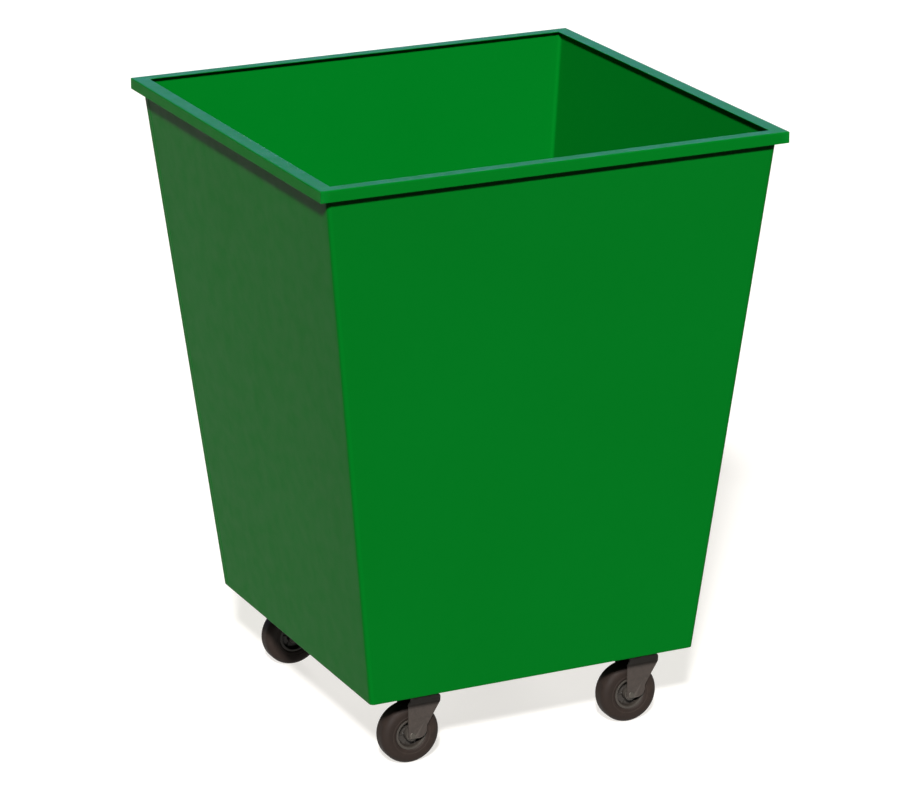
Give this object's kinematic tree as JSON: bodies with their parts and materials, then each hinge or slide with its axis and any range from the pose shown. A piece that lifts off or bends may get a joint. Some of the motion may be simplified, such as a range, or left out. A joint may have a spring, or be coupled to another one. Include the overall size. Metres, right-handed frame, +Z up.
{
  "type": "wheeled waste container",
  "caption": "Open-top tapered sheet-steel waste container with a flat angle rim, standing on swivelling rubber-tyred casters.",
  "frame": {"origin": "on the ground, under the middle of the rim's outline", "axes": "+Z up, +X along the wide front face, -Y out of the front face"},
  "size_m": [0.991, 0.96, 1.251],
  "materials": {
    "green_paint": "smooth semi-gloss green paint",
    "dark_steel": "dull dark grey coated steel",
    "zinc_steel": "dull zinc plate",
    "grey_core": "moulded dark grey wheel core",
    "black_rubber": "dull black rubber"
  },
  "bodies": {
    "tub": {"front_left_wall_sheet": "green_paint", "back_right_wall_sheet": "green_paint", "floor_plate": "green_paint", "rim_rail_front": "green_paint", "rim_rail_right": "green_paint", "rim_rail_back": "green_paint", "rim_rail_left": "green_paint", "front_left_mounting_pad": "green_paint", "front_left_caster_plate": "dark_steel", "front_left_kingpin": "zinc_steel", "front_left_kingpin_nut": "zinc_steel", "front_left_lower_cup": "dark_steel", "front_right_mounting_pad": "green_paint", "front_right_caster_plate": "dark_steel", "front_right_kingpin": "zinc_steel", "front_right_kingpin_nut": "zinc_steel", "front_right_lower_cup": "dark_steel", "back_left_mounting_pad": "green_paint", "back_left_caster_plate": "dark_steel", "back_left_kingpin": "zinc_steel", "back_left_kingpin_nut": "zinc_steel", "back_left_lower_cup": "dark_steel", "back_right_mounting_pad": "green_paint", "back_right_caster_plate": "dark_steel", "back_right_kingpin": "zinc_steel", "back_right_kingpin_nut": "zinc_steel", "back_right_lower_cup": "dark_steel"},
    "front_left_swivel": {"front_left_upper_ball_ring": "zinc_steel", "front_left_lower_ball_ring": "zinc_steel", "front_left_fork": "dark_steel", "front_left_axle": "zinc_steel", "front_left_axle_nut": "zinc_steel"},
    "front_left_wheel": {"front_left_wheel_bearing": "zinc_steel", "front_left_wheel_core": "grey_core", "front_left_tyre": "black_rubber"},
    "front_right_swivel": {"front_right_upper_ball_ring": "zinc_steel", "front_right_lower_ball_ring": "zinc_steel", "front_right_fork": "dark_steel", "front_right_axle": "zinc_steel", "front_right_axle_nut": "zinc_steel"},
    "front_right_wheel": {"front_right_wheel_bearing": "zinc_steel", "front_right_wheel_core": "grey_core", "front_right_tyre": "black_rubber"},
    "back_left_swivel": {"back_left_upper_ball_ring": "zinc_steel", "back_left_lower_ball_ring": "zinc_steel", "back_left_fork": "dark_steel", "back_left_axle": "zinc_steel", "back_left_axle_nut": "zinc_steel"},
    "back_left_wheel": {"back_left_wheel_bearing": "zinc_steel", "back_left_wheel_core": "grey_core", "back_left_tyre": "black_rubber"},
    "back_right_swivel": {"back_right_upper_ball_ring": "zinc_steel", "back_right_lower_ball_ring": "zinc_steel", "back_right_fork": "dark_steel", "back_right_axle": "zinc_steel", "back_right_axle_nut": "zinc_steel"},
    "back_right_wheel": {"back_right_wheel_bearing": "zinc_steel", "back_right_wheel_core": "grey_core", "back_right_tyre": "black_rubber"}
  },
  "joints": [
    {"name": "front_left_swivel_turn", "type": "hinge", "parent": "tub", "child": "front_left_swivel", "pos_m": [-0.2145, -0.297, 0.143], "axis": [0, 0, 1], "continuous": true},
    {"name": "front_left_wheel_spin", "type": "hinge", "parent": "front_left_swivel", "child": "front_left_wheel", "pos_m": [-0.2435, -0.297, 0.0625], "axis": [0, 1, 0], "continuous": true},
    {"name": "front_right_swivel_turn", "type": "hinge", "parent": "tub", "child": "front_right_swivel", "pos_m": [0.274, -0.297, 0.143], "axis": [0, 0, 1], "continuous": true},
    {"name": "front_right_wheel_spin", "type": "hinge", "parent": "front_right_swivel", "child": "front_right_wheel", "pos_m": [0.245, -0.297, 0.0625], "axis": [0, 1, 0], "continuous": true},
    {"name": "back_left_swivel_turn", "type": "hinge", "parent": "tub", "child": "back_left_swivel", "pos_m": [-0.2145, 0.287, 0.143], "axis": [0, 0, 1], "continuous": true},
    {"name": "back_left_wheel_spin", "type": "hinge", "parent": "back_left_swivel", "child": "back_left_wheel", "pos_m": [-0.2435, 0.287, 0.0625], "axis": [0, 1, 0], "continuous": true},
    {"name": "back_right_swivel_turn", "type": "hinge", "parent": "tub", "child": "back_right_swivel", "pos_m": [0.274, 0.287, 0.143], "axis": [0, 0, 1], "continuous": true},
    {"name": "back_right_wheel_spin", "type": "hinge", "parent": "back_right_swivel", "child": "back_right_wheel", "pos_m": [0.245, 0.287, 0.0625], "axis": [0, 1, 0], "continuous": true}
  ]
}
